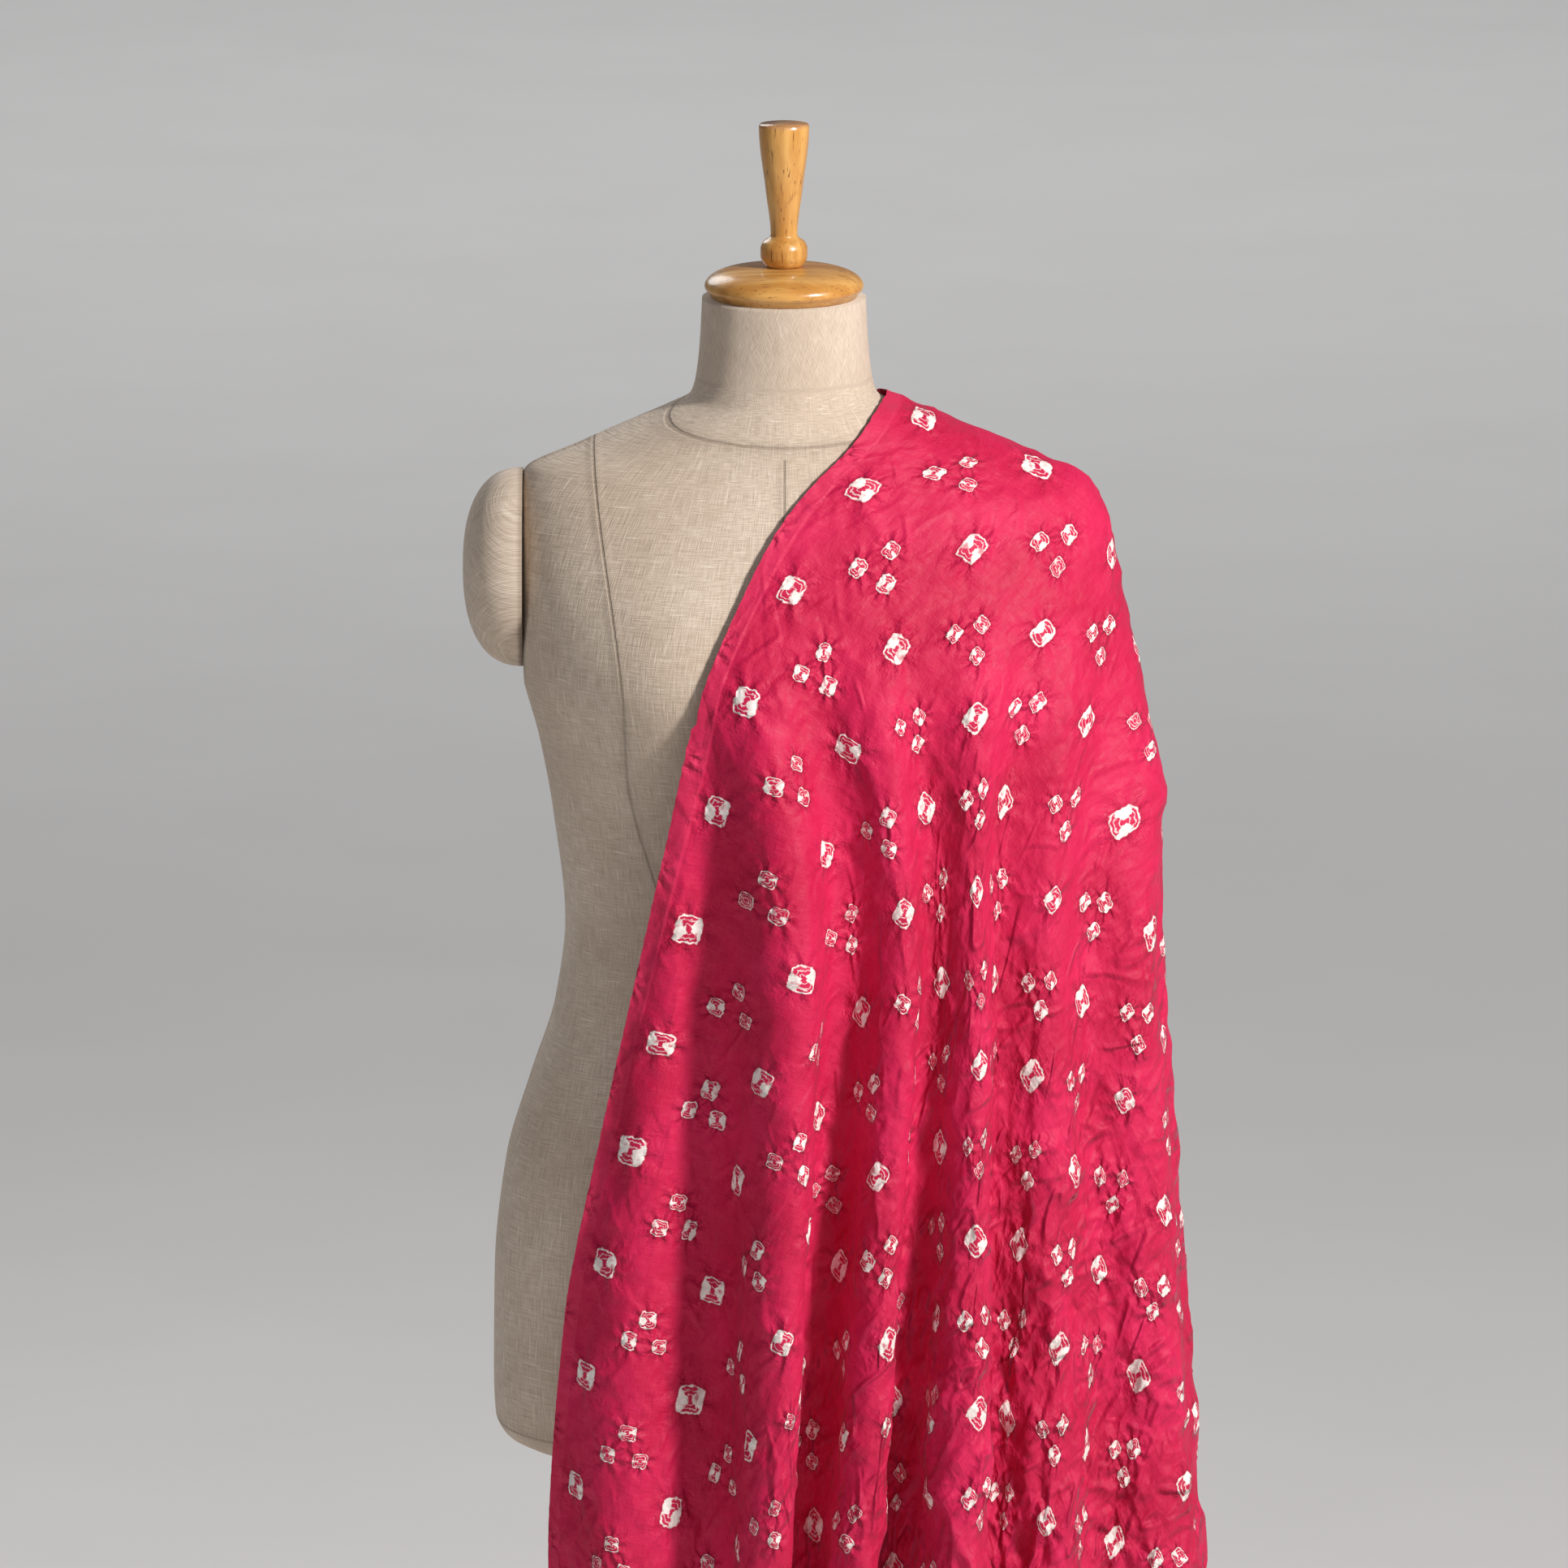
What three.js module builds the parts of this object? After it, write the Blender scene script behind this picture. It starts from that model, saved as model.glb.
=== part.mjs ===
// Bandhani cloth draped over one shoulder of a padded dress form on a pole stand.
// Millimetres, +Z up, the form faces -Y, origin on the floor under the pole.
import * as THREE from 'three';

// ---- driving sizes -------------------------------------------------------
const NECK_POINT_Z = 1371;    // where the cloth crosses the shoulder at the neck
const CLOTH_WIDTH = 914;      // selvedge to selvedge
const CLOTH_HALF_LENGTH = 950; // shoulder to cut end, front and back alike
const CLOTH_THICK = 1.6;
const ROWS = 22, ROW_CROWD = 1.35; // facets down each hanging line, closer at the top
const GAP = 0.3;              // between neighbouring pieces
const APEX_U = 104, APEX_V = 135; // flat point the hanging lines fan out from
const SIDE_DEG = 69.5;        // hanging line that makes the outer outline
const REST_CLEAR = 4, FACET_CLEAR = 3.4; // cloth to form, at its points and across its facets
const ARM_PLANE = 166;        // the torso is cut off here for the arm caps
const ARM_PLANE_TO = 250;       // the arm openings end above this drop
const ARM_CAP = { drop: 108, high: 64, deep: 48, out: 38.5, round: 2.4 };
const NECK_TOP = -66.7;
const BUN = { bottom: -67, high: 19, radius: 50.5 };
const TORSO_BOTTOM = 681;
const POLE_RADIUS = 15, BASE_RADIUS = 170, BASE_HIGH = 22;
const RING = 44;              // facets round the torso

// ---- tables --------------------------------------------------------------
// torso, a row per section: how far below the neck point, half width, front and
// back depth, squareness of the oval
const TORSO = [
  { drop: NECK_TOP, half: 52, front: 50, back: 50, square: 2.0 },
  { drop: -38, half: 53.5, front: 51, back: 50, square: 2.0 },
  { drop: -16, half: 56, front: 53, back: 51, square: 2.0 },
  { drop: -4, half: 60, front: 56, back: 53, square: 2.0 },
  { drop: 4, half: 76, front: 60, back: 57, square: 1.9 },
  { drop: 14, half: 100, front: 64, back: 61, square: 1.8 },
  { drop: 28, half: 132, front: 68, back: 66, square: 1.75 },
  { drop: 44, half: 165, front: 74, back: 74, square: 1.8 },
  { drop: 62, half: 171, front: 82, back: 82, square: 1.95 },
  { drop: 92, half: 173, front: 94, back: 92, square: 2.1 },
  { drop: 130, half: 172, front: 106, back: 98, square: 2.2 },
  { drop: 172, half: 168, front: 112, back: 99, square: 2.25 },
  { drop: 215, half: 157, front: 108, back: 95, square: 2.25 },
  { drop: 265, half: 148, front: 100, back: 88, square: 2.25 },
  { drop: 337, half: 140.5, front: 95, back: 80, square: 2.25 },
  { drop: 390, half: 147, front: 99, back: 88, square: 2.25 },
  { drop: 440, half: 163, front: 104, back: 101, square: 2.25 },
  { drop: 497, half: 179.5, front: 110, back: 112, square: 2.25 },
  { drop: 567, half: 187, front: 114, back: 118, square: 2.25 },
  { drop: 640, half: 188, front: 115, back: 116, square: 2.25 },
  { drop: 664, half: 187, front: 114, back: 114, square: 2.25 },
  { drop: 675, half: 182, front: 109, back: 109, square: 2.25 },
  { drop: TORSO_BOTTOM, half: 172, front: 99, back: 99, square: 2.25 },
];
const BUST = { x: 78, drop: 168, wide: 50, high: 58, out: 13 };

// cloth, a row per level: flat distance from the apex, drop below the neck
// point, where the selvedge and the outer side stand, front and back depth,
// squareness, and the half width the front oval would have on the far side
const LEVELS = [
  { flat: 170, drop: -5, edge: 64, side: 64, front: 30, back: 30, square: 1.7, far: 80 },
  { flat: 217, drop: 19, edge: 41, side: 126, front: 70, back: 68, square: 1.7, far: 120 },
  { flat: 255, drop: 40, edge: 18, side: 172, front: 78, back: 77, square: 1.8, far: 160 },
  { flat: 283, drop: 62, edge: -1, side: 199, front: 88, back: 87, square: 2.0, far: 172 },
  { flat: 320, drop: 98, edge: -22, side: 211, front: 103, back: 97, square: 2.1, far: 182 },
  { flat: 407, drop: 178, edge: -56, side: 227, front: 130, back: 107, square: 2.2, far: 190 },
  { flat: 486, drop: 258, edge: -74, side: 241, front: 133, back: 112, square: 2.3, far: 190 },
  { flat: 567, drop: 340, edge: -92, side: 252, front: 132, back: 116, square: 2.4, far: 192 },
  { flat: 684, drop: 455, edge: -117, side: 262, front: 130, back: 126, square: 2.5, far: 200 },
  { flat: 812, drop: 582, edge: -141, side: 271, front: 132, back: 132, square: 2.5, far: 212 },
  { flat: 968, drop: 738, edge: -151, side: 280, front: 136, back: 138, square: 2.5, far: 222 },
  { flat: 1150, drop: 918, edge: -150, side: 288, front: 140, back: 142, square: 2.5, far: 226 },
  { flat: 1500, drop: 1264, edge: -147, side: 298, front: 146, back: 148, square: 2.5, far: 230 },
];
// folds, a row per fold from the selvedge round to the side: hanging line on
// which it ends, its end's place at waist and hem level, how much it swings in
// and out, lean to the outer side, facets across it
const FOLD_WAIST = 567, FOLD_HEM = 930;
const FRONT_FOLDS = [
  { name: 'lap', endDeg: 14.5, waistX: -52, hemX: -50, swing: 0.38, lean: 0.0, facets: 5 },
  { name: 'first', endDeg: 26.5, waistX: 41, hemX: 11, swing: 1.0, lean: 0.26, facets: 8 },
  { name: 'second', endDeg: 37.0, waistX: 94, hemX: 65, swing: 1.0, lean: 0.26, facets: 8 },
  { name: 'third', endDeg: 50.0, waistX: 136, hemX: 132, swing: 0.97, lean: 0.22, facets: 8 },
  { name: 'crinkled', endDeg: 60.0, waistX: 192, hemX: 203, swing: 0.55, lean: 0.0, facets: 4 },
  { name: 'outer', endDeg: SIDE_DEG, waistX: 240, hemX: 268, swing: 0.50, lean: 0.0, facets: 4 },
];
const BACK_FOLDS = [
  { name: 'lap', endDeg: 14.5, waistX: -54, hemX: -66, swing: 0.48, lean: 0.0 },
  { name: 'first', endDeg: 26.5, waistX: 34, hemX: 20, swing: 0.95, lean: 0.10 },
  { name: 'second', endDeg: 37.0, waistX: 92, hemX: 82, swing: 1.0, lean: 0.0 },
  { name: 'third', endDeg: 50.0, waistX: 148, hemX: 146, swing: 1.0, lean: -0.10 },
  { name: 'fourth', endDeg: 60.0, waistX: 198, hemX: 206, swing: 0.92, lean: 0.0 },
  { name: 'outer', endDeg: SIDE_DEG, waistX: 240, hemX: 268, swing: 0.55, lean: 0.0 },
];
const SIDE_FACETS = 8;
// swing of the folds: how far (radians) the cloth turns in and out at each level
const SWING = [
  { flat: 170, turn: 0.0 }, { flat: 340, turn: 0.0 }, { flat: 430, turn: 0.70 },
  { flat: 567, turn: 1.15 }, { flat: 684, turn: 1.38 }, { flat: 930, turn: 1.62 },
  { flat: 1500, turn: 1.74 },
];
const SIDE_TURN = 1.0;        // share of the swing in the hollow under the arm
const SAG = { perMm: 0.075, from: 480, fromDeg: 25, overDeg: 30 }; // bias stretch

// ---- helpers -------------------------------------------------------------
const rad = (d) => (d * Math.PI) / 180, deg = (r) => (r * 180) / Math.PI;
const clamp = (x, a, b) => Math.min(b, Math.max(a, x));
const ease = (a, b, x) => { const t = clamp((x - a) / (b - a), 0, 1); return t * t * (3 - 2 * t); };
// smooth curve through one column of a table, no overshoot
function curve(rows, key, val) {
  const x = rows.map((r) => r[key]), y = rows.map((r) => r[val]), n = x.length;
  const d = [], m = [];
  for (let i = 0; i < n - 1; i++) d.push((y[i + 1] - y[i]) / (x[i + 1] - x[i]));
  for (let i = 0; i < n; i++) {
    if (i === 0) m.push(d[0]);
    else if (i === n - 1) m.push(d[n - 2]);
    else m.push(d[i - 1] * d[i] <= 0 ? 0 : (2 * d[i - 1] * d[i]) / (d[i - 1] + d[i]));
  }
  return (v) => {
    const q = clamp(v, x[0], x[n - 1]);
    let i = 0;
    while (i < n - 2 && q > x[i + 1]) i++;
    const h = x[i + 1] - x[i], t = (q - x[i]) / h, t2 = t * t, t3 = t2 * t;
    return (2 * t3 - 3 * t2 + 1) * y[i] + (t3 - 2 * t2 + t) * h * m[i]
      + (-2 * t3 + 3 * t2) * y[i + 1] + (t3 - t2) * h * m[i + 1];
  };
}
const power = (v, p) => Math.sign(v) * Math.pow(Math.abs(v), p);

// ---- dress form ----------------------------------------------------------
const torso = {};
for (const k of ['half', 'front', 'back', 'square']) torso[k] = curve(TORSO, 'drop', k);
function torsoPoint(drop, turn) {
  const p = 2 / torso.square(drop), s = Math.sin(turn), c = Math.cos(turn);
  let x = torso.half(drop) * power(s, p), y = -(c >= 0 ? torso.front(drop) : torso.back(drop)) * power(c, p);
  if (c > 0) {
    const fall = Math.exp(-(((drop - BUST.drop) / BUST.high) ** 2));
    y -= BUST.out * fall * c * (Math.exp(-(((x - BUST.x) / BUST.wide) ** 2)) + Math.exp(-(((x + BUST.x) / BUST.wide) ** 2)));
  }
  if (drop < ARM_PLANE_TO) x = clamp(x, -ARM_PLANE, ARM_PLANE);
  return [x, y, NECK_POINT_Z - drop];
}
// how far a point stands outside the torso or the covered arm cap
function outside(p) {
  const drop = NECK_POINT_Z - p.z;
  let best = 1e3;
  if (drop > NECK_TOP && drop < TORSO_BOTTOM) {
    const n = torso.square(drop);
    const bump = p.y < 0 ? BUST.out * Math.exp(-(((drop - BUST.drop) / BUST.high) ** 2))
      * (Math.exp(-(((p.x - BUST.x) / BUST.wide) ** 2)) + Math.exp(-(((p.x + BUST.x) / BUST.wide) ** 2))) : 0;
    const dep = (p.y < 0 ? torso.front(drop) : torso.back(drop)) + bump;
    const f = Math.pow(Math.pow(Math.abs(p.x) / torso.half(drop), n) + Math.pow(Math.abs(p.y) / dep, n), 1 / n);
    best = (f - 1) * Math.min(dep, torso.half(drop));
  }
  if (p.x > ARM_PLANE - 30) {
    const n = ARM_CAP.round, o = Math.max(0, p.x - ARM_PLANE) / ARM_CAP.out;
    const rho = Math.hypot(p.y / ARM_CAP.deep, (drop - ARM_CAP.drop) / ARM_CAP.high);
    best = Math.min(best, (Math.pow(Math.pow(o, n) + Math.pow(rho, n), 1 / n) - 1) * ARM_CAP.out);
  }
  return best;
}
// the move along the slope of that measure that makes a point clear the form
function wayOut(p, clear) {
  const d = outside(p), h = 0.5;
  if (d > 60) return null;
  const e = [new THREE.Vector3(h, 0, 0), new THREE.Vector3(0, h, 0), new THREE.Vector3(0, 0, h)];
  const g = new THREE.Vector3(...e.map((q) => (outside(p.clone().add(q)) - outside(p.clone().sub(q))) / (2 * h)));
  const len = Math.max(g.length(), 0.2), dist = d / len;
  return dist >= clear ? null : g.multiplyScalar((clear - dist) / (len * len));
}
function clearForm(p, clear) {
  for (let k = 0; k < 6; k++) {
    const move = wayOut(p, clear);
    if (!move) break;
    p.add(move);
  }
}

// ---- cloth ---------------------------------------------------------------
const level = {};
for (const k of ['drop', 'edge', 'side', 'front', 'back', 'square', 'far']) level[k] = curve(LEVELS, 'flat', k);
const swingAt = curve(SWING, 'flat', 'turn');
const STEPS = 240;

// one level of the drape, as a plan curve from the selvedge to the mid side,
// sampled evenly in hanging line
function planCurve(flat, folds, depthKey) {
  const edge = level.edge(flat), side = level.side(flat), far = level.far(flat);
  const depth = level[depthKey](flat), p = 2 / level.square(flat);
  const reach = edge >= 0 ? side : far;
  const t0 = Math.asin(clamp(power(edge / reach, 1 / p), -1, 1));
  const bx = [], by = [], bs = [0];
  for (let i = 0; i <= STEPS; i++) {
    const t = t0 + ((Math.PI / 2 - t0) * i) / STEPS, s = Math.sin(t);
    bx.push((s >= 0 ? side : far) * power(s, p));
    by.push(depth * power(Math.abs(Math.cos(t)), p));
    if (i) bs.push(bs[i - 1] + Math.hypot(bx[i] - bx[i - 1], by[i] - by[i - 1]));
  }
  const total = bs[STEPS];
  const along = (x) => {      // run of the base curve up to a given x
    let i = 0;
    while (i < STEPS - 1 && bx[i + 1] < x) i++;
    return bs[i] + (bs[i + 1] - bs[i]) * clamp((x - bx[i]) / Math.max(bx[i + 1] - bx[i], 1e-9), 0, 1);
  };
  const degEdge = deg(Math.asin(Math.min(1, APEX_U / flat)));
  const degMid = Math.max(deg(Math.acos(Math.min(1, APEX_V / flat))), degEdge + 0.01);
  const low = clamp((flat - FOLD_WAIST) / (FOLD_HEM - FOLD_WAIST), 0, 1.5);
  const settle = ease(330, 520, flat), turn = swingAt(flat);
  const stops = [{ d: degEdge, s: 0 }];
  for (const f of folds) {
    const d = clamp(f.endDeg, degEdge, degMid);
    const even = (total * (d - degEdge)) / (degMid - degEdge);
    const placed = Math.min(along(f.waistX + (f.hemX - f.waistX) * low), total);
    stops.push({ d, s: Math.max(even + (placed - even) * settle, stops[stops.length - 1].s), swing: f.swing, lean: f.lean });
  }
  stops.push({ d: degMid, s: total, swing: -SIDE_TURN, lean: 0, half: true });
  const pts = [];
  for (let i = 0; i <= STEPS; i++) {
    const d = degEdge + ((degMid - degEdge) * i) / STEPS;
    let k = 1;
    while (k < stops.length - 1 && d > stops[k].d) k++;
    const a = stops[k - 1], b = stops[k], run = b.s - a.s;
    const q = b.d - a.d > 1e-6 ? clamp((d - a.d) / (b.d - a.d), 0, 1) : 1;
    const turns = (b.half ? 1 : 2) * Math.PI, w = turn * b.swing, M = 48;
    let xi = 0, eta = 0, full = 0;
    for (let j = 0; j < M; j++) {
      const qa = (j + 0.5) / M, c = Math.cos(w * Math.sin(turns * qa));
      full += c / M;
      const part = clamp(q * M - j, 0, 1) / M;
      if (part > 0) {
        const qm = (j + 0.5 * part * M) / M, th = w * Math.sin(turns * qm);
        xi += Math.cos(th) * part; eta += Math.sin(th) * part;
      }
    }
    xi *= run / full; eta *= run / full;
    const at = clamp(a.s + xi + b.lean * eta, 0, total);
    let i2 = 0;
    while (i2 < STEPS - 1 && bs[i2 + 1] < at) i2++;
    const f = clamp((at - bs[i2]) / Math.max(bs[i2 + 1] - bs[i2], 1e-9), 0, 1);
    const tx = bx[i2 + 1] - bx[i2], ty = by[i2 + 1] - by[i2], tl = Math.hypot(tx, ty) || 1;
    pts.push([bx[i2] + tx * f - (eta * ty) / tl, by[i2] + ty * f + (eta * tx) / tl]);
  }
  return { flat, degEdge, degMid, pts };
}

// all levels of one half, then any flat point by interpolation between levels
function halfDrape(folds, depthKey, sign) {
  const levels = [];
  for (let f = 170.5; f < 430; f += 10) levels.push(planCurve(f, folds, depthKey));
  for (let f = 430; f <= 1520; f += 18) levels.push(planCurve(f, folds, depthKey));
  const sample = (lv, d) => {
    const q = clamp((d - lv.degEdge) / (lv.degMid - lv.degEdge), 0, 1) * STEPS;
    const i = Math.min(STEPS - 1, Math.floor(q)), t = q - i;
    return [0, 1].map((k) => lv.pts[i][k] * (1 - t) + lv.pts[i + 1][k] * t);
  };
  return (u, v) => {
    const flat = clamp(Math.hypot(u + APEX_U, v + APEX_V), levels[0].flat, levels[levels.length - 1].flat);
    const d = deg(Math.atan2(u + APEX_U, v + APEX_V));
    let j = 0;
    while (j < levels.length - 2 && flat > levels[j + 1].flat) j++;
    const t = (flat - levels[j].flat) / (levels[j + 1].flat - levels[j].flat);
    const a = sample(levels[j], d), b = sample(levels[j + 1], d);
    const sag = SAG.perMm * Math.max(0, flat - SAG.from) * clamp((d - SAG.fromDeg) / SAG.overDeg, 0, 1);
    return new THREE.Vector3(a[0] * (1 - t) + b[0] * t, sign * (a[1] * (1 - t) + b[1] * t),
      NECK_POINT_Z - level.drop(flat) - sag);
  };
}

// The flat rectangle is meshed along the hanging lines, so that facets follow
// the folds: columns fan out from the apex, rows run from the selvedge or the
// shoulder line down to the hem or the outer selvedge.
function flatNet() {
  const first = deg(Math.atan2(APEX_U, CLOTH_HALF_LENGTH + APEX_V)), last = deg(Math.atan2(CLOTH_WIDTH + APEX_U, APEX_V));
  const lines = [first], net = [];
  for (const f of [...FRONT_FOLDS, { endDeg: last, facets: SIDE_FACETS }]) {
    const from = lines[lines.length - 1];
    for (let c = 1; c <= f.facets; c++) lines.push(from + ((f.endDeg - from) * c) / f.facets);
  }
  for (const line of lines) {
    const t = rad(line), s = Math.sin(t), k = Math.cos(t);
    const from = Math.max(APEX_U / s, APEX_V / k);
    const to = Math.min((CLOTH_WIDTH + APEX_U) / s, (CLOTH_HALF_LENGTH + APEX_V) / k);
    const col = [];
    for (let r = 0; r <= ROWS; r++) {
      const d = from + Math.max(0, to - from) * Math.pow(r / ROWS, ROW_CROWD);
      col.push([clamp(d * s - APEX_U, 0, CLOTH_WIDTH), clamp(d * k - APEX_V, 0, CLOTH_HALF_LENGTH)]);
    }
    net.push(col);
  }
  return net;
}
function clothGeometry() {
  const halves = [
    { sign: 1, place: halfDrape(FRONT_FOLDS, 'front', -1) },
    { sign: -1, place: halfDrape(BACK_FOLDS, 'back', 1) },
  ];
  const net = flatNet(), points = [], known = new Map(), faces = [];
  const vertex = (u, v, half) => {
    const key = `${u.toFixed(2)}_${(v * half.sign).toFixed(2).replace('-0.00', '0.00')}`;
    if (!known.has(key)) {
      known.set(key, points.length);
      points.push(v < 1e-6 ? halves[0].place(u, 0).add(halves[1].place(u, 0)).multiplyScalar(0.5) : half.place(u, v));
    }
    return known.get(key);
  };
  for (const half of halves) for (let c = 0; c < net.length - 1; c++) for (let r = 0; r < ROWS; r++) {
    const q = [net[c][r], net[c + 1][r], net[c + 1][r + 1], net[c][r + 1]].map(([u, v]) => vertex(u, v, half));
    for (const [i, j, k] of [[0, 1, 2], [0, 2, 3]]) {
      const t = half.sign > 0 ? [q[i], q[k], q[j]] : [q[i], q[j], q[k]];
      if (new Set(t).size === 3) faces.push(t);
    }
  }
  for (const p of points) clearForm(p, REST_CLEAR);
  for (let pass = 0; pass < 14; pass++) { // then the facets between the points
    for (const f of faces) for (const [a, b] of [[f[0], f[1]], [f[1], f[2]], [f[2], f[0]]]) {
      const move = wayOut(points[a].clone().add(points[b]).multiplyScalar(0.5), FACET_CLEAR);
      if (move) { points[a].addScaledVector(move, 0.4); points[b].addScaledVector(move, 0.4); }
    }
  }
  // give the sheet its thickness and close the rim
  const normals = points.map(() => new THREE.Vector3()), edges = new Map();
  for (const [a, b, c] of faces) {
    const n = points[b].clone().sub(points[a]).cross(points[c].clone().sub(points[a]));
    for (const i of [a, b, c]) normals[i].add(n);
    for (const [i, j] of [[a, b], [b, c], [c, a]]) edges.set(`${i}_${j}`, [i, j]);
  }
  const pos = [], idx = [], count = points.length;
  for (const s of [0.5, -0.5]) points.forEach((p, i) => {
    const n = normals[i].clone().normalize().multiplyScalar(s * CLOTH_THICK);
    pos.push(p.x + n.x, p.y + n.y, p.z + n.z);
  });
  for (const [a, b, c] of faces) idx.push(a, b, c, a + count, c + count, b + count);
  for (const [i, j] of edges.values()) if (!edges.has(`${j}_${i}`)) idx.push(i, i + count, j, j, i + count, j + count);
  return finish(pos, idx);
}
function finish(pos, idx) {
  const g = new THREE.BufferGeometry();
  g.setAttribute('position', new THREE.Float32BufferAttribute(pos, 3));
  g.setIndex(idx);
  g.computeVertexNormals();
  return g;
}

// ---- form pieces ---------------------------------------------------------
function torsoGeometry() {
  const pos = [], idx = [], drops = TORSO.map((r) => r.drop);
  for (const d of drops) for (let i = 0; i < RING; i++) pos.push(...torsoPoint(d, (2 * Math.PI * i) / RING));
  for (let j = 0; j < drops.length - 1; j++) for (let i = 0; i < RING; i++) {
    const a = j * RING + i, b = j * RING + ((i + 1) % RING), c = a + RING, d = b + RING;
    idx.push(a, c, b, b, c, d);
  }
  const top = pos.length / 3;
  pos.push(0, 0, NECK_POINT_Z - drops[0]);
  pos.push(0, 0, NECK_POINT_Z - drops[drops.length - 1]);
  const last = (drops.length - 1) * RING;
  for (let i = 0; i < RING; i++) {
    const n = (i + 1) % RING;
    idx.push(top, i, n);
    idx.push(top + 1, last + n, last + i);
  }
  return finish(pos, idx);
}
// padded dome over an arm opening, flat against the torso side
function armCapGeometry(side) {
  const pos = [], idx = [], rings = 7, around = 26, x0 = ARM_PLANE + GAP;
  const zc = NECK_POINT_Z - ARM_CAP.drop;
  for (let r = 0; r < rings; r++) {
    const a = (Math.PI / 2) * (1 - r / rings), rho = Math.pow(Math.sin(a), 2 / ARM_CAP.round);
    const out = ARM_CAP.out * Math.pow(Math.cos(a), 2 / ARM_CAP.round);
    for (let i = 0; i < around; i++) {
      const t = (2 * Math.PI * i) / around;
      pos.push(side * (x0 + (r === 0 ? 0 : out)), ARM_CAP.deep * rho * Math.cos(t), zc + ARM_CAP.high * rho * Math.sin(t));
    }
  }
  const tip = pos.length / 3;
  pos.push(side * (x0 + ARM_CAP.out), 0, zc, side * x0, 0, zc);
  const face = (a, b, c) => (side > 0 ? idx.push(a, b, c) : idx.push(a, c, b));
  for (let i = 0; i < around; i++) {
    const n = (i + 1) % around;
    for (let r = 0; r < rings - 1; r++) {
      const a = r * around + i, b = r * around + n;
      face(a, b, a + around); face(b, b + around, a + around);
    }
    face((rings - 1) * around + i, (rings - 1) * around + n, tip);
    face(n, i, tip + 1);
  }
  return finish(pos, idx);
}
// turned piece from a profile of [radius, height] pairs, bottom to top
function turned(profile, around) {
  const pos = [], idx = [];
  profile.forEach(([r, z]) => { for (let i = 0; i < around; i++) { const t = (2 * Math.PI * i) / around; pos.push(r * Math.cos(t), r * Math.sin(t), z); } });
  const rows = profile.length, low = pos.length / 3;
  pos.push(0, 0, profile[0][1], 0, 0, profile[rows - 1][1]);
  for (let i = 0; i < around; i++) {
    const n = (i + 1) % around;
    for (let j = 0; j < rows - 1; j++) {
      const a = j * around + i, b = j * around + n;
      idx.push(a, b, a + around, b, b + around, a + around);
    }
    idx.push(low, n, i, low + 1, (rows - 1) * around + i, (rows - 1) * around + n);
  }
  return finish(pos, idx);
}
const up = (drop) => NECK_POINT_Z - drop;
function bunProfile() {
  const out = [], z0 = up(BUN.bottom), n = 8;
  out.push([BUN.radius - 4, z0]);
  for (let i = 0; i <= n; i++) {
    const a = (Math.PI / 2) * (-0.35 + (1.35 * i) / n), lift = 6.5;
    const h = a < 0 ? Math.sin(a) * lift : Math.sin(a) * (BUN.high - lift);
    const r = BUN.radius * Math.pow(Math.max(Math.cos(a), 0), a < 0 ? 0.35 : 0.55);
    if (r > 12) out.push([r, z0 + lift + h]);
  }
  out.push([12, z0 + BUN.high]);
  return out;
}
const FINIAL = [ // a row per turning: height above the bun, radius
  { above: 0, radius: 11 }, { above: 2.2, radius: 13.2 }, { above: 7, radius: 15 }, { above: 11, radius: 15 },
  { above: 15.5, radius: 13.4 }, { above: 18.5, radius: 9.6 }, { above: 20, radius: 8.5 }, { above: 48, radius: 11.6 },
  { above: 89, radius: 16.0 }, { above: 91, radius: 15.4 },
];
const finialFoot = up(BUN.bottom) + BUN.high + GAP;
const POLE = [{ z: BASE_HIGH + GAP, radius: POLE_RADIUS }, { z: up(TORSO_BOTTOM) - GAP, radius: POLE_RADIUS }];
const BASE = [{ z: 0, radius: BASE_RADIUS - 2 }, { z: 2, radius: BASE_RADIUS }, { z: BASE_HIGH - 8, radius: BASE_RADIUS }, { z: BASE_HIGH - 2, radius: BASE_RADIUS - 6 }, { z: BASE_HIGH, radius: BASE_RADIUS - 14 }];

// ---- assembly ------------------------------------------------------------
const paint = (name, color, roughness) => { const m = new THREE.MeshStandardMaterial({ color, roughness }); m.name = name; return m; };
const CLOTH = paint('cloth', 0xc81e4b, 0.75), LINEN = paint('linen', 0xbfb2a2, 0.9);
const WOOD = paint('wood', 0xd2a562, 0.3), STAND = paint('stand', 0x2b2a29, 0.45);
const group = new THREE.Group();
group.name = 'bandhani_on_dress_form';
const add = (name, geometry, material) => { const m = new THREE.Mesh(geometry, material); m.name = name; group.add(m); };
add('cloth', clothGeometry(), CLOTH);
add('form_body', torsoGeometry(), LINEN);
add('arm_cap_right', armCapGeometry(-1), LINEN);
add('arm_cap_left', armCapGeometry(1), LINEN);
add('neck_cap', turned(bunProfile(), 28), WOOD);
add('finial', turned(FINIAL.map((r) => [r.radius, finialFoot + r.above]), 24), WOOD);
add('pole', turned(POLE.map((r) => [r.radius, r.z]), 24), STAND);
add('base', turned(BASE.map((r) => [r.radius, r.z]), 36), STAND);
export default group;
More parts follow.
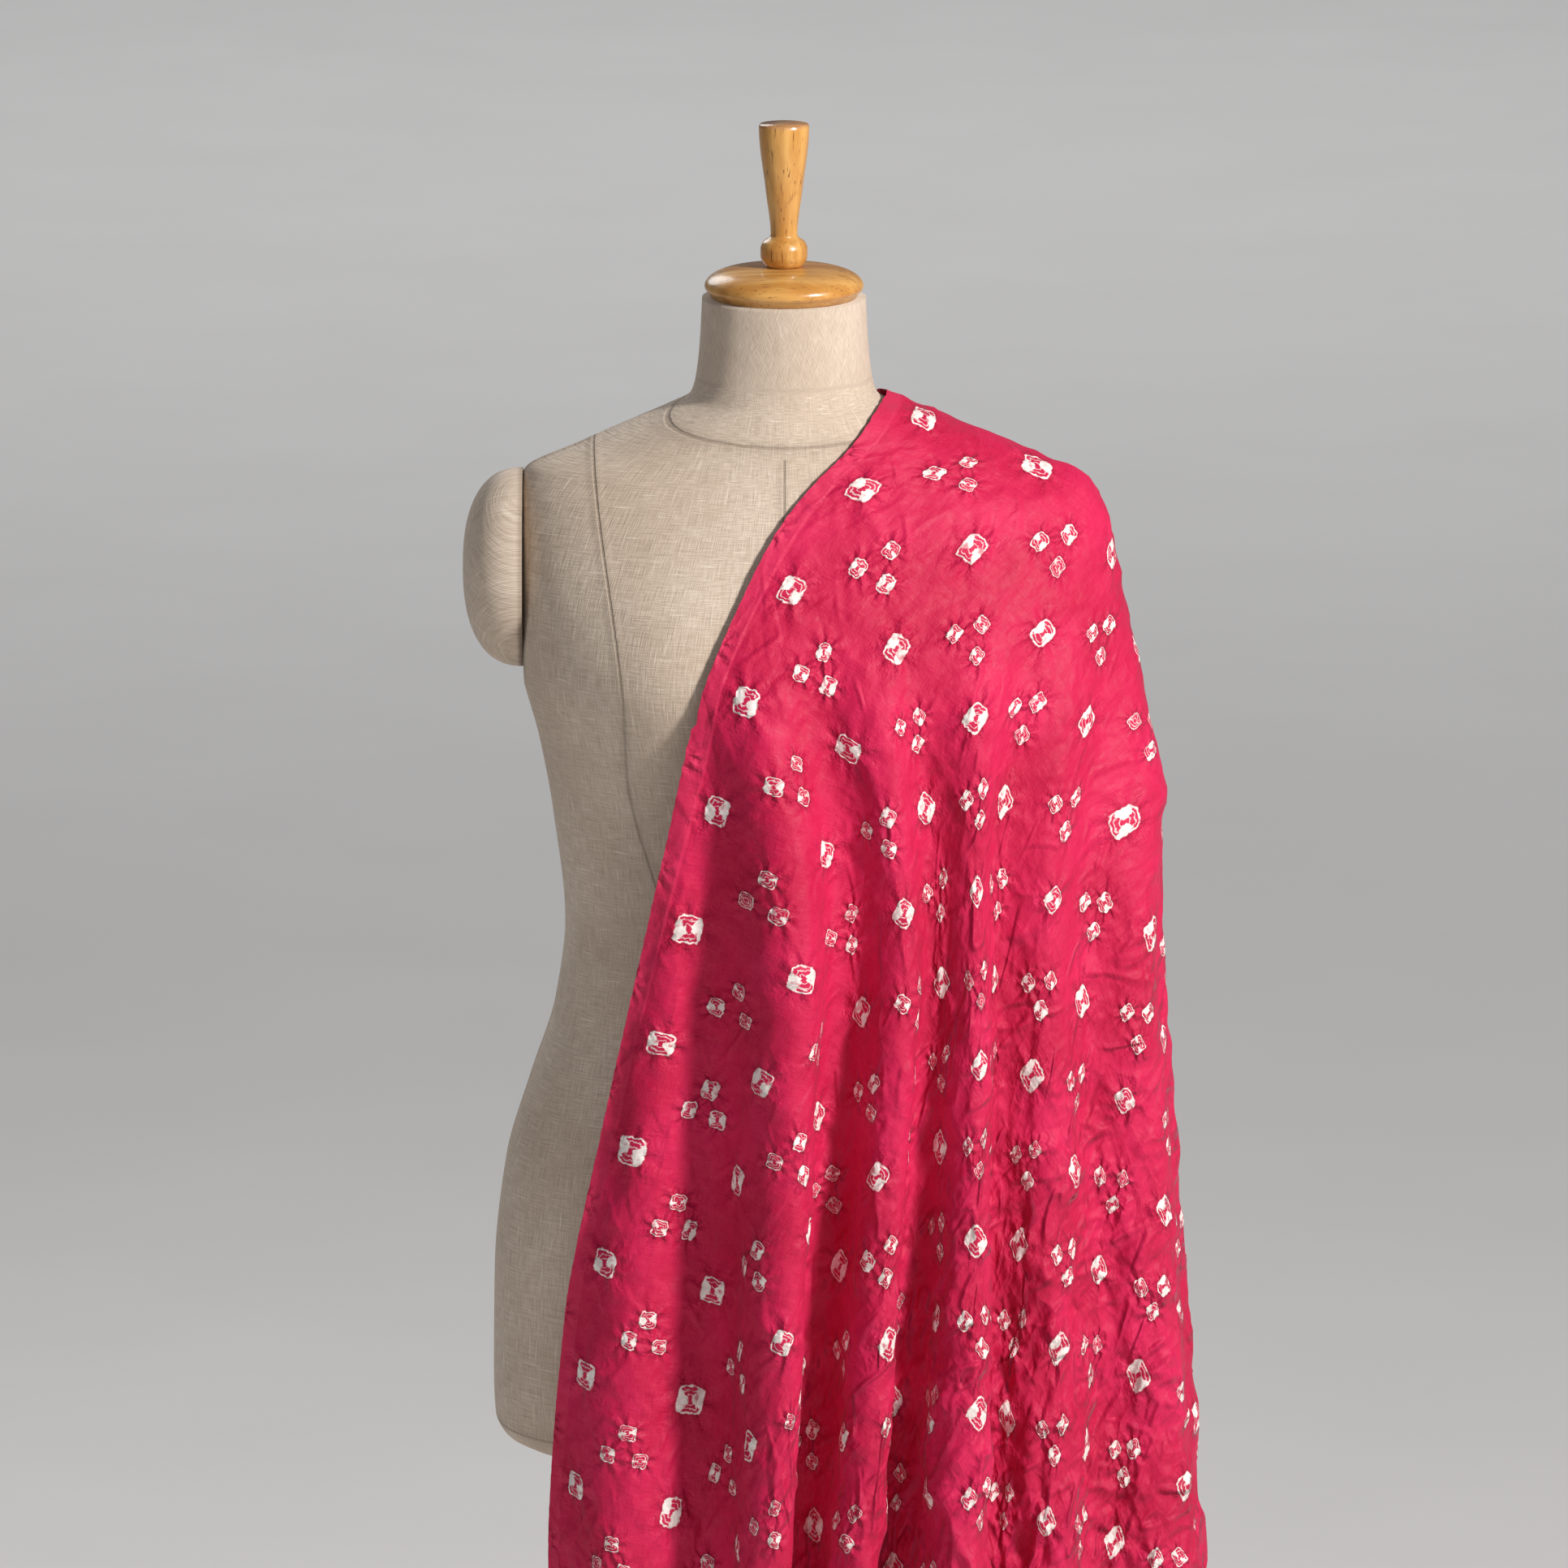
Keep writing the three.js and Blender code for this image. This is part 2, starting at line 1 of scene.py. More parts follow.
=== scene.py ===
"""Looks of a bandhani cloth draped over a shoulder of a dress form. Sizes in mm, scaled to metres at the end."""
import math
import bpy
import numpy as np
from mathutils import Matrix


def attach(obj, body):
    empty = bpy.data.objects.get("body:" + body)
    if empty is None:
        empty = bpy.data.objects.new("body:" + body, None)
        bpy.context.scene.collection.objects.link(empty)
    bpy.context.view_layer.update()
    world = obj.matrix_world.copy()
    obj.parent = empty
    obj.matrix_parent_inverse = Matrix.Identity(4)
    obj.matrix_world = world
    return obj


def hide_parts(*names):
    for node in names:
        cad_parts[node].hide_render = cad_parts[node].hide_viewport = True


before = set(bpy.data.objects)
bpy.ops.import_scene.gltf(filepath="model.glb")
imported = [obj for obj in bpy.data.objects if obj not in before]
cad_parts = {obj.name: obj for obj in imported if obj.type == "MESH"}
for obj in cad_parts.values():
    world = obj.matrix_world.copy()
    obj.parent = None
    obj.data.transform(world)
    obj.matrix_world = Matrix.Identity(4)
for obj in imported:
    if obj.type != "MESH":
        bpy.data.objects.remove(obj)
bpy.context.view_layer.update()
MM = 0.001

# ---------------------------------------------------------------- tables (as in the CAD source)
NECK_POINT_Z, TORSO_BOTTOM, NECK_TOP = 1371.0, 681.0, -66.7
CLOTH_WIDTH, CLOTH_HALF = 914.0, 950.0
APEX_U, APEX_V, SIDE_DEG = 104.0, 135.0, 69.5
ARM_PLANE, ARM_PLANE_TO = 166.0, 250.0
ARM_CAP = dict(drop=108.0, high=64.0, deep=48.0, out=38.5, round=2.4)
BUST = dict(x=78.0, drop=168.0, wide=50.0, high=58.0, out=13.0)
BUN = dict(bottom=-67.0, high=19.0, radius=50.5)
TORSO = dict(  # a column per size, a row per section
    drop=(-66.7, -38, -16, -4, 4, 14, 28, 44, 62, 92, 130, 172, 215, 265, 337, 390, 440, 497, 567, 640, 664, 675, 681),
    half=(52, 53.5, 56, 60, 76, 100, 132, 165, 171, 173, 172, 168, 157, 148, 140.5, 147, 163, 179.5, 187, 188, 187, 182, 172),
    front=(50, 51, 53, 56, 60, 64, 68, 74, 82, 94, 106, 112, 108, 100, 95, 99, 104, 110, 114, 115, 114, 109, 99),
    back=(50, 50, 51, 53, 57, 61, 66, 74, 82, 92, 98, 99, 95, 88, 80, 88, 101, 112, 118, 116, 114, 109, 99),
    square=(2, 2, 2, 2, 1.9, 1.8, 1.75, 1.8, 1.95, 2.1, 2.2, 2.25) + (2.25,) * 11)
LEVELS = dict(  # sections of the drape by distance from the fan's apex in the flat cloth
    flat=(170, 217, 255, 283, 320, 407, 486, 567, 684, 812, 968, 1150, 1500),
    drop=(-5, 19, 40, 62, 98, 178, 258, 340, 455, 582, 738, 918, 1264),
    edge=(64, 41, 18, -1, -22, -56, -74, -92, -117, -141, -151, -150, -147),
    side=(64, 126, 172, 199, 211, 227, 241, 252, 262, 271, 280, 288, 298),
    front=(30, 70, 78, 88, 103, 130, 133, 132, 130, 132, 136, 140, 146),
    back=(30, 68, 77, 87, 97, 107, 112, 116, 126, 132, 138, 142, 148),
    square=(1.7, 1.7, 1.8, 2.0, 2.1, 2.2, 2.3, 2.4, 2.5, 2.5, 2.5, 2.5, 2.5),
    far=(80, 120, 160, 172, 182, 190, 190, 192, 200, 212, 222, 226, 230))
FOLD_WAIST, FOLD_HEM = 567.0, 930.0
# name, end (deg), x at the waist, x at the hem, swing, lean
FRONT_FOLDS = [("lap", 14.5, -52, -50, .38, 0.), ("first", 26.5, 41, 11, 1., .26), ("second", 37., 94, 65, 1., .26),
               ("third", 50., 136, 132, .97, .22), ("crinkled", 60., 192, 203, .55, 0.), ("outer", SIDE_DEG, 240, 268, .50, 0.)]
BACK_FOLDS = [("lap", 14.5, -54, -66, .48, 0.), ("first", 26.5, 34, 20, .95, .10), ("second", 37., 92, 82, 1.0, 0.),
              ("third", 50., 148, 146, 1., -.10), ("fourth", 60., 198, 206, .92, 0.), ("outer", SIDE_DEG, 240, 268, .55, 0.)]
SWING = dict(flat=(170, 340, 430, 567, 684, 930, 1500), turn=(0, 0, .70, 1.15, 1.38, 1.62, 1.74))
SIDE_TURN = 1.0
SAG = dict(per=.075, start=480., deg=25., over=30.)
FINIAL = dict(above=(0, 2.2, 7, 11, 15.5, 18.5, 20, 48, 89, 91), radius=(11, 13.2, 15, 15, 13.4, 9.6, 8.5, 11.6, 16.0, 15.4))
POLE_RADIUS, BASE_RADIUS, BASE_HIGH, GAP = 15.0, 170.0, 22.0, .3
# flat pattern of the cloth
PITCH, FIRST_U, FIRST_V = 75.0, 25.0, 15.0
BIG_HALF, SMALL_HALF, TRIO = 8.1, 5.0, 20.0
CLEAR = 4.2


def curve(x, xs, ys):
    """smooth curve through a table, no overshoot"""
    xs, ys = np.asarray(xs, float), np.asarray(ys, float)
    d = np.diff(ys) / np.diff(xs)
    m = np.empty_like(ys)
    m[0], m[-1] = d[0], d[-1]
    for i in range(1, len(ys) - 1):
        m[i] = 0 if d[i - 1] * d[i] <= 0 else 2 * d[i - 1] * d[i] / (d[i - 1] + d[i])
    x = np.clip(x, xs[0], xs[-1])
    i = np.clip(np.searchsorted(xs, x) - 1, 0, len(xs) - 2)
    h = xs[i + 1] - xs[i]
    t = (x - xs[i]) / h
    return ((2 * t**3 - 3 * t**2 + 1) * ys[i] + (t**3 - 2 * t**2 + t) * h * m[i]
            + (-2 * t**3 + 3 * t**2) * ys[i + 1] + (t**3 - t**2) * h * m[i + 1])


def ease(a, b, x):
    t = np.clip((x - a) / (b - a), 0, 1)
    return t * t * (3 - 2 * t)


def lattice(seed, n=256):
    return np.random.default_rng(seed).random((n, n))


def noise(x, y, seed):
    """smooth value noise, -1 to 1, one cell a unit"""
    g = lattice(seed)
    i, j = np.floor(x).astype(int), np.floor(y).astype(int)
    fx, fy = x - i, y - j
    fx, fy = fx**3 * (fx * (6 * fx - 15) + 10), fy**3 * (fy * (6 * fy - 15) + 10)
    at = lambda a, b: g[a % 256, b % 256]
    return 2 * ((at(i, j) * (1 - fx) + at(i + 1, j) * fx) * (1 - fy) + (at(i, j + 1) * (1 - fx) + at(i + 1, j + 1) * fx) * fy) - 1


# ---------------------------------------------------------------- drape
STEPS = 600


def plan_curve(flat, folds, key):
    lv = {k: float(curve(flat, LEVELS["flat"], LEVELS[k])) for k in ("edge", "side", "far", key, "square")}
    p = 2 / lv["square"]
    reach = lv["side"] if lv["edge"] >= 0 else lv["far"]
    t0 = np.arcsin(np.clip(np.sign(lv["edge"]) * abs(lv["edge"] / reach) ** (1 / p), -1, 1))
    t = np.linspace(t0, np.pi / 2, STEPS + 1)
    s = np.sin(t)
    bx = np.where(s >= 0, lv["side"], lv["far"]) * np.sign(s) * np.abs(s) ** p
    by = lv[key] * np.abs(np.cos(t)) ** p
    bs = np.concatenate([[0], np.cumsum(np.hypot(np.diff(bx), np.diff(by)))]) + 1e-9 * np.arange(STEPS + 1)
    total = bs[-1]
    de = np.degrees(np.arcsin(min(1, APEX_U / flat)))
    dm = max(np.degrees(np.arccos(min(1, APEX_V / flat))), de + .01)
    low = np.clip((flat - FOLD_WAIST) / (FOLD_HEM - FOLD_WAIST), 0, 1.5)
    settle = ease(330, 520, flat)
    turn = float(curve(flat, SWING["flat"], SWING["turn"]))
    stops = [(de, 0., 0, 0, 0)]
    for _, end, wx, hx, sw, le in folds:
        d = np.clip(end, de, dm)
        even = total * (d - de) / (dm - de)
        placed = min(float(np.interp(wx + (hx - wx) * low, bx, bs)), total)
        stops.append((d, max(even + (placed - even) * settle, stops[-1][1]), sw, le, 0))
    stops.append((dm, total, -SIDE_TURN, 0., 1))
    deg = np.linspace(de, dm, STEPS + 1)
    xi, eta, lean = np.zeros(STEPS + 1), np.zeros(STEPS + 1), np.zeros(STEPS + 1)
    for a, b in zip(stops[:-1], stops[1:]):
        if b[0] - a[0] < 1e-6:
            continue
        m = (deg >= a[0] - 1e-9) & (deg <= b[0] + 1e-9)
        q = np.clip((deg[m] - a[0]) / (b[0] - a[0]), 0, 1)
        w, turns = turn * b[2], (1 if b[4] else 2) * np.pi
        qq = np.linspace(0, 1, 401)
        th = w * np.sin(turns * (qq[1:] + qq[:-1]) / 2)
        X = np.concatenate([[0], np.cumsum(np.cos(th))]) / 400
        E = np.concatenate([[0], np.cumsum(np.sin(th))]) / 400
        k = (b[1] - a[1]) / X[-1]
        xi[m], eta[m], lean[m] = a[1] + k * np.interp(q, qq, X), k * np.interp(q, qq, E), b[3]
    at = np.clip(xi + lean * eta, 0, total)
    tx, ty = np.interp(at, bs, np.gradient(bx, bs)), np.interp(at, bs, np.gradient(by, bs))
    tl = np.hypot(tx, ty) + 1e-9
    return de, dm, np.interp(at, bs, bx) - eta * ty / tl, np.interp(at, bs, by) + eta * tx / tl


LV = np.concatenate([np.arange(170.5, 430, 6.), np.arange(430, 1521, 10.)])


def half_drape(folds, key):
    rows = [plan_curve(f, folds, key) for f in LV]
    return tuple(np.array([r[k] for r in rows]) for k in range(4))


def place(u, v, drape, sign):
    de, dm, X, Y = drape
    flat = np.clip(np.hypot(u + APEX_U, v + APEX_V), LV[0], LV[-1])
    d = np.degrees(np.arctan2(u + APEX_U, v + APEX_V))
    j = np.clip(np.searchsorted(LV, flat) - 1, 0, len(LV) - 2)
    t = (flat - LV[j]) / (LV[j + 1] - LV[j])

    def at(jj):
        q = np.clip((d - de[jj]) / (dm[jj] - de[jj]), 0, 1) * STEPS
        i = np.minimum(STEPS - 1, q.astype(int))
        f = q - i
        return X[jj, i] * (1 - f) + X[jj, i + 1] * f, Y[jj, i] * (1 - f) + Y[jj, i + 1] * f

    xa, ya = at(j)
    xb, yb = at(j + 1)
    sag = SAG["per"] * np.maximum(0, flat - SAG["start"]) * np.clip((d - SAG["deg"]) / SAG["over"], 0, 1)
    z = NECK_POINT_Z - curve(flat, LEVELS["flat"], LEVELS["drop"]) - sag
    return np.stack([xa * (1 - t) + xb * t, sign * (ya * (1 - t) + yb * t), z], -1)


def outside(p):
    """how far points stand outside the torso or the covered arm cap"""
    x, y, drop = p[:, 0], p[:, 1], NECK_POINT_Z - p[:, 2]
    row = {k: curve(drop, TORSO["drop"], TORSO[k]) for k in ("half", "front", "back", "square")}
    fall = BUST["out"] * np.exp(-((drop - BUST["drop"]) / BUST["high"]) ** 2)
    bump = np.where(y < 0, fall * (np.exp(-((x - BUST["x"]) / BUST["wide"]) ** 2) + np.exp(-((x + BUST["x"]) / BUST["wide"]) ** 2)), 0)
    dep = np.where(y < 0, row["front"], row["back"]) + bump
    n = row["square"]
    f = ((np.abs(x) / row["half"]) ** n + (np.abs(y) / dep) ** n) ** (1 / n)
    best = np.where((drop > NECK_TOP) & (drop < TORSO_BOTTOM), (f - 1) * np.minimum(dep, row["half"]), 1e3)
    n = ARM_CAP["round"]
    o = np.maximum(0, x - ARM_PLANE) / ARM_CAP["out"]
    rho = np.hypot(y / ARM_CAP["deep"], (drop - ARM_CAP["drop"]) / ARM_CAP["high"])
    arm = ((o**n + rho**n) ** (1 / n) - 1) * ARM_CAP["out"]
    return np.where(x > ARM_PLANE - 30, np.minimum(best, arm), best)


def clear_form(p, clear, rounds=6):
    for _ in range(rounds):
        d = outside(p)
        near = np.where(d < 60)[0]
        q, h = p[near], .5
        g = np.stack([(outside(q + e) - outside(q - e)) / (2 * h) for e in np.eye(3) * h], -1)
        g = np.clip(g, -4, 4)
        ln = np.maximum(np.linalg.norm(g, axis=1), .2)
        dist = d[near] / ln
        move = np.where(dist < clear, (clear - dist) / ln**2, 0)
        p[near] += g * move[:, None]
    return p


def grid_normals(P):
    du, dv = np.gradient(P, axis=1), np.gradient(P, axis=0)
    n = np.cross(dv, du)
    return n / (np.linalg.norm(n, axis=-1, keepdims=True) + 1e-12)


def ridged(x, y, seed):
    return 1 - 2 * np.abs(noise(x, y, seed))


def cloth_mesh():
    u = np.linspace(0, CLOTH_WIDTH, 215)
    v = np.concatenate([np.linspace(-CLOTH_HALF, 0, 113)[:-1], np.linspace(0, CLOTH_HALF, 231)])
    U, V = np.meshgrid(u, v)
    front, back = half_drape(FRONT_FOLDS, "front"), half_drape(BACK_FOLDS, "back")
    pf = place(U.ravel(), np.abs(V).ravel(), front, -1).reshape(U.shape + (3,))
    pb = place(U.ravel(), np.abs(V).ravel(), back, 1).reshape(U.shape + (3,))
    P = np.where(V[..., None] > 0, pf, pb)
    mid = np.abs(V) < 1e-6
    P[mid] = .5 * (pf[mid] + pb[mid])
    base = P.copy()
    P = clear_form(P.reshape(-1, 3), CLEAR).reshape(P.shape)
    # even out the marks that the push leaves
    shift = P - base
    for _ in range(4):
        s = shift.copy()
        s[1:-1] = (shift[:-2] + 2 * shift[1:-1] + shift[2:]) / 4
        s[:, 1:-1] = (s[:, :-2] + 2 * s[:, 1:-1] + s[:, 2:]) / 4
        shift = s
    P = clear_form((base + shift).reshape(-1, 3), CLEAR - .6).reshape(P.shape)
    # crinkles: puckers round the tied spots, fine creases on the slack side, soft waves elsewhere
    N = grid_normals(P)
    a = np.abs(V)
    slack = .30 + .70 * ease(260, 560, U + .25 * (a - 300)) * ease(60, 300, a)
    warp = 9 * noise(U / 60, V / 60, 1)
    fine = ridged((U + .55 * V + warp) / 21, (V - .3 * U) / 58, 2) + .7 * ridged((U - .5 * V - warp) / 26, (V + .25 * U) / 52, 3)
    wave = noise(U / 46, V / 95, 4)
    disp = slack * (2.3 * fine + 1.5 * ridged((U + warp) / 13, V / 27, 5)) + 1.3 * wave * (.4 + slack)
    big_u, big_v = (U - FIRST_U) / PITCH, (V - FIRST_V) / PITCH
    r = np.hypot(big_u - np.round(big_u), big_v - np.round(big_v)) * PITCH
    ang = np.arctan2(big_v - np.round(big_v), big_u - np.round(big_u))
    disp += 1.1 * np.exp(-(r / 9) ** 2) + .9 * np.exp(-((r - 19) / 10) ** 2) * np.sin(5 * ang + 9 * noise(np.round(big_u) * .7, np.round(big_v) * .7, 6))
    r = np.hypot(big_u - np.floor(big_u) - .5, big_v - np.floor(big_v) - .5) * PITCH
    disp += .9 * np.exp(-(r / 13) ** 2)
    # crease left by folding for storage, crossing the chest
    line = V - (168 + .22 * U)
    disp += 1.6 * np.exp(-(line / 3.2) ** 2) * ease(20, 70, U) * (1 - ease(220, 330, U))
    # parallel crease beside the selvedge, and softer relief right at that edge
    disp += .8 * np.exp(-((U - 13) / 3.0) ** 2)
    disp *= ease(0, 26, U) * .7 + .3
    P = P + N * disp[..., None]
    P = clear_form(P.reshape(-1, 3), 2.2, 3).reshape(P.shape)
    rows, cols = U.shape
    k = np.arange(rows * cols).reshape(rows, cols)
    quads = np.stack([k[:-1, :-1], k[1:, :-1], k[1:, 1:], k[:-1, 1:]], -1).reshape(-1, 4)
    uv = np.stack([U, V + CLOTH_HALF], -1).reshape(-1, 2) / (2 * CLOTH_HALF)
    return P.reshape(-1, 3), quads, uv


# ---------------------------------------------------------------- object helpers
def make(name, points, faces, uv=None, smooth=True):
    me = bpy.data.meshes.new(name)
    me.from_pydata((np.asarray(points) * MM).tolist(), [], [list(map(int, f)) for f in faces])
    if uv is not None:
        layer = me.uv_layers.new(name="flat")
        idx = np.empty(len(me.loops), int)
        me.loops.foreach_get("vertex_index", idx)
        layer.data.foreach_set("uv", np.asarray(uv, float)[idx].ravel())
    me.validate()
    if smooth:
        me.polygons.foreach_set("use_smooth", np.ones(len(me.polygons), bool))
    ob = bpy.data.objects.new(name, me)
    bpy.context.scene.collection.objects.link(ob)
    return ob


def ring_loft(rings, closed_ends=True):
    """rings: list of (n,3) arrays"""
    n = len(rings[0])
    pts = np.concatenate(rings)
    faces = []
    for j in range(len(rings) - 1):
        for i in range(n):
            a, b = j * n + i, j * n + (i + 1) % n
            faces.append((a, b, b + n, a + n))
    if closed_ends:
        faces.append(tuple(range(n))[::-1])
        faces.append(tuple(range((len(rings) - 1) * n, len(rings) * n)))
    return pts, faces


def turned(profile, around=96):
    t = np.linspace(0, 2 * np.pi, around, endpoint=False)
    return ring_loft([np.stack([r * np.cos(t), r * np.sin(t), np.full(around, z)], -1) for r, z in profile])


def torso_mesh():
    drops = np.unique(np.concatenate([np.linspace(-66.7, 60, 64), np.linspace(60, 664, 120), np.linspace(664, 681, 12)]))
    t = np.linspace(0, 2 * np.pi, 176, endpoint=False)
    s, c = np.sin(t), np.cos(t)
    rings, uvs = [], []
    for d in drops[::-1]:
        row = {k: float(curve(d, TORSO["drop"], TORSO[k])) for k in ("half", "front", "back", "square")}
        p = 2 / row["square"]
        x = row["half"] * np.sign(s) * np.abs(s) ** p
        y = -np.where(c >= 0, row["front"], row["back"]) * np.sign(c) * np.abs(c) ** p
        fall = BUST["out"] * math.exp(-((d - BUST["drop"]) / BUST["high"]) ** 2)
        y -= np.where(c > 0, fall * c * (np.exp(-((x - BUST["x"]) / BUST["wide"]) ** 2) + np.exp(-((x + BUST["x"]) / BUST["wide"]) ** 2)), 0)
        if d < ARM_PLANE_TO:
            x = np.clip(x, -ARM_PLANE, ARM_PLANE)
        rings.append(np.stack([x, y, np.full_like(x, NECK_POINT_Z - d)], -1))
    return ring_loft(rings)


def arm_cap_mesh(side):
    around, rings = 72, []
    t = np.linspace(0, 2 * np.pi, around, endpoint=False)
    x0, zc = ARM_PLANE + GAP, NECK_POINT_Z - ARM_CAP["drop"]
    for r in range(29):
        a = (np.pi / 2) * (1 - r / 29)
        rho = np.sin(a) ** (2 / ARM_CAP["round"])
        out = 0 if r == 0 else ARM_CAP["out"] * np.cos(a) ** (2 / ARM_CAP["round"])
        rings.append(np.stack([np.full(around, side * (x0 + out)), ARM_CAP["deep"] * rho * np.cos(t) * side, zc + ARM_CAP["high"] * rho * np.sin(t)], -1))
    return ring_loft(rings)


# ---------------------------------------------------------------- node helpers
class Nodes:
    def __init__(self, tree):
        self.t, self.n, self.l = tree, tree.nodes, tree.links

    def put(self, node, socket, value):
        if value is None:
            return
        s = node.inputs[socket]
        if isinstance(value, bpy.types.NodeSocket):
            self.l.new(value, s)
        else:
            s.default_value = value

    def math(self, op, a, b=None, c=None, clamp=False):
        n = self.n.new("ShaderNodeMath")
        n.operation, n.use_clamp = op, clamp
        for i, x in enumerate((a, b, c)):
            self.put(n, i, x)
        return n.outputs[0]

    def vec(self, op, a, b=None, c=None, out=0):
        n = self.n.new("ShaderNodeVectorMath")
        n.operation = op
        for i, x in enumerate((a, b, c)):
            if x is not None:
                self.put(n, 3 if op == "SCALE" and i == 1 else i, x)
        return n.outputs[out]

    def split(self, v):
        n = self.n.new("ShaderNodeSeparateXYZ")
        self.l.new(v, n.inputs[0])
        return n.outputs[0], n.outputs[1], n.outputs[2]

    def join(self, x, y, z=0.0):
        n = self.n.new("ShaderNodeCombineXYZ")
        for i, k in enumerate((x, y, z)):
            self.put(n, i, k)
        return n.outputs[0]

    def step(self, x, a, b, lo=0.0, hi=1.0):
        n = self.n.new("ShaderNodeMapRange")
        n.interpolation_type = "SMOOTHSTEP"
        for i, k in enumerate((x, a, b, lo, hi)):
            self.put(n, i, k)
        return n.outputs[0]

    def noise(self, v, scale, detail=2.0, rough=.5, dims="3D"):
        n = self.n.new("ShaderNodeTexNoise")
        n.noise_dimensions = dims
        self.put(n, "Vector", v)
        n.inputs["Scale"].default_value = scale
        n.inputs["Detail"].default_value = detail
        n.inputs["Roughness"].default_value = rough
        return n.outputs[0]

    def random(self, v):
        n = self.n.new("ShaderNodeTexWhiteNoise")
        n.noise_dimensions = "3D"
        self.l.new(v, n.inputs["Vector"])
        return n.outputs["Color"]

    def mix(self, fac, a, b, kind="MIX"):
        n = self.n.new("ShaderNodeMix")
        n.data_type, n.blend_type = "RGBA", kind
        for s, x in ((0, fac), (6, a), (7, b)):
            self.put(n, s, x)
        return n.outputs[2]

    def bump(self, height, strength, distance, normal=None):
        n = self.n.new("ShaderNodeBump")
        n.inputs["Strength"].default_value = strength
        n.inputs["Distance"].default_value = distance
        self.put(n, "Height", height)
        self.put(n, "Normal", normal)
        return n.outputs[0]

    def coords(self, which="Object"):
        return self.n.new("ShaderNodeTexCoord").outputs[which]


def material(name, **constant):
    m = bpy.data.materials.new(name)
    m.use_nodes = True
    k = Nodes(m.node_tree)
    shader = m.node_tree.nodes["Principled BSDF"]
    for key, value in constant.items():
        shader.inputs[key.replace("_", " ")].default_value = value
    return m, k, shader


def lin(r, g, b):
    f = lambda c: c / 255 / 12.92 if c <= 10.3 else ((c / 255 + .055) / 1.055) ** 2.4
    return (f(r), f(g), f(b), 1.0)


# ---------------------------------------------------------------- cloth material
def spot_group():
    """one tied spot: a rounded square left undyed, with the dye's hourglass and thin resist lines"""
    g = bpy.data.node_groups.new("tied_spot", "ShaderNodeTree")
    face = g.interface
    face.new_socket("At", in_out="INPUT", socket_type="NodeSocketVector")
    face.new_socket("Half", in_out="INPUT", socket_type="NodeSocketFloat")
    face.new_socket("Seed", in_out="INPUT", socket_type="NodeSocketVector")
    face.new_socket("White", in_out="OUTPUT", socket_type="NodeSocketFloat")
    face.new_socket("Halo", in_out="OUTPUT", socket_type="NodeSocketFloat")
    face.new_socket("Rise", in_out="OUTPUT", socket_type="NodeSocketFloat")
    face.new_socket("Pucker", in_out="OUTPUT", socket_type="NodeSocketFloat")
    k = Nodes(g)
    gi, go = g.nodes.new("NodeGroupInput"), g.nodes.new("NodeGroupOutput")
    at, half, seed = gi.outputs[0], gi.outputs[1], gi.outputs[2]
    sx, sy, sz = k.split(seed)
    # a little off its place, a little wider or taller
    at = k.vec("ADD", at, k.vec("SCALE", k.vec("SUBTRACT", seed, (.5, .5, .5)), .0028))
    x, y, _ = k.split(at)
    x = k.math("MULTIPLY", x, k.math("MULTIPLY_ADD", sy, .3, .9))
    y = k.math("MULTIPLY", y, k.math("MULTIPLY_ADD", sz, .26, .82))
    wob = k.math("SUBTRACT", k.noise(k.vec("ADD", at, seed), 330, 2), .5)
    r = k.math("POWER", k.math("ADD", k.math("POWER", k.math("ABSOLUTE", x), 4.2), k.math("POWER", k.math("ABSOLUTE", y), 4.2)), 1 / 4.2)
    r = k.math("MULTIPLY_ADD", wob, .0030, r)
    rn = k.math("DIVIDE", r, half)
    way = k.math("ARCTAN2", y, x)
    th = k.math("ADD", way, k.math("MULTIPLY_ADD", sx, 1.1, -.55))
    th = k.math("MULTIPLY_ADD", wob, .9, th)
    inside = k.step(rn, .96, 1.04, 1, 0)
    outline = k.math("MULTIPLY", inside, k.step(rn, .86, .91))
    heart = k.step(rn, .72, .78, 1, 0)
    hole = k.step(rn, .13, .24)
    open_ = k.math("MULTIPLY", k.step(half, .0055, .0075, 1.2, .50), k.math("SUBTRACT", sz, k.step(half, .0055, .0075, .16, .40)))  # small spots take more dye
    wedge = k.step(k.math("SUBTRACT", k.math("COSINE", k.math("MULTIPLY", th, 2)), open_), -.10, .12)
    wedge = k.math("MULTIPLY", wedge, k.math("MULTIPLY", k.step(rn, .93, .97, 1, 0), hole))
    lines = k.step(k.math("COSINE", k.math("MULTIPLY_ADD", wob, 2.5, k.math("MULTIPLY", rn, 19.0))), .55, .90)
    lines = k.math("MULTIPLY", k.math("MULTIPLY", lines, heart), k.math("MULTIPLY", hole, .65))
    white = k.math("MAXIMUM", k.math("MAXIMUM", outline, wedge), lines)
    # some spots took more dye
    white = k.math("MULTIPLY", white, k.step(k.noise(k.vec("ADD", at, seed), 210, 1), .24, .46, .30, 1))
    g.links.new(white, go.inputs[0])
    g.links.new(k.math("MULTIPLY", k.step(rn, 1.0, 1.06), k.step(rn, 1.10, 1.34, 1, 0)), go.inputs[1])
    g.links.new(k.step(rn, .2, 1.7, 1, 0), go.inputs[2])
    rays = k.math("COSINE", k.math("ADD", k.math("MULTIPLY", way, 7.0), k.math("ADD", k.math("MULTIPLY", sx, 6.3), k.math("MULTIPLY", wob, 2.5))))
    rays = k.math("MULTIPLY", rays, k.math("MULTIPLY", k.step(rn, .75, 1.15), k.step(rn, 1.1, 3.0, 1, 0)))
    g.links.new(rays, go.inputs[3])
    return g


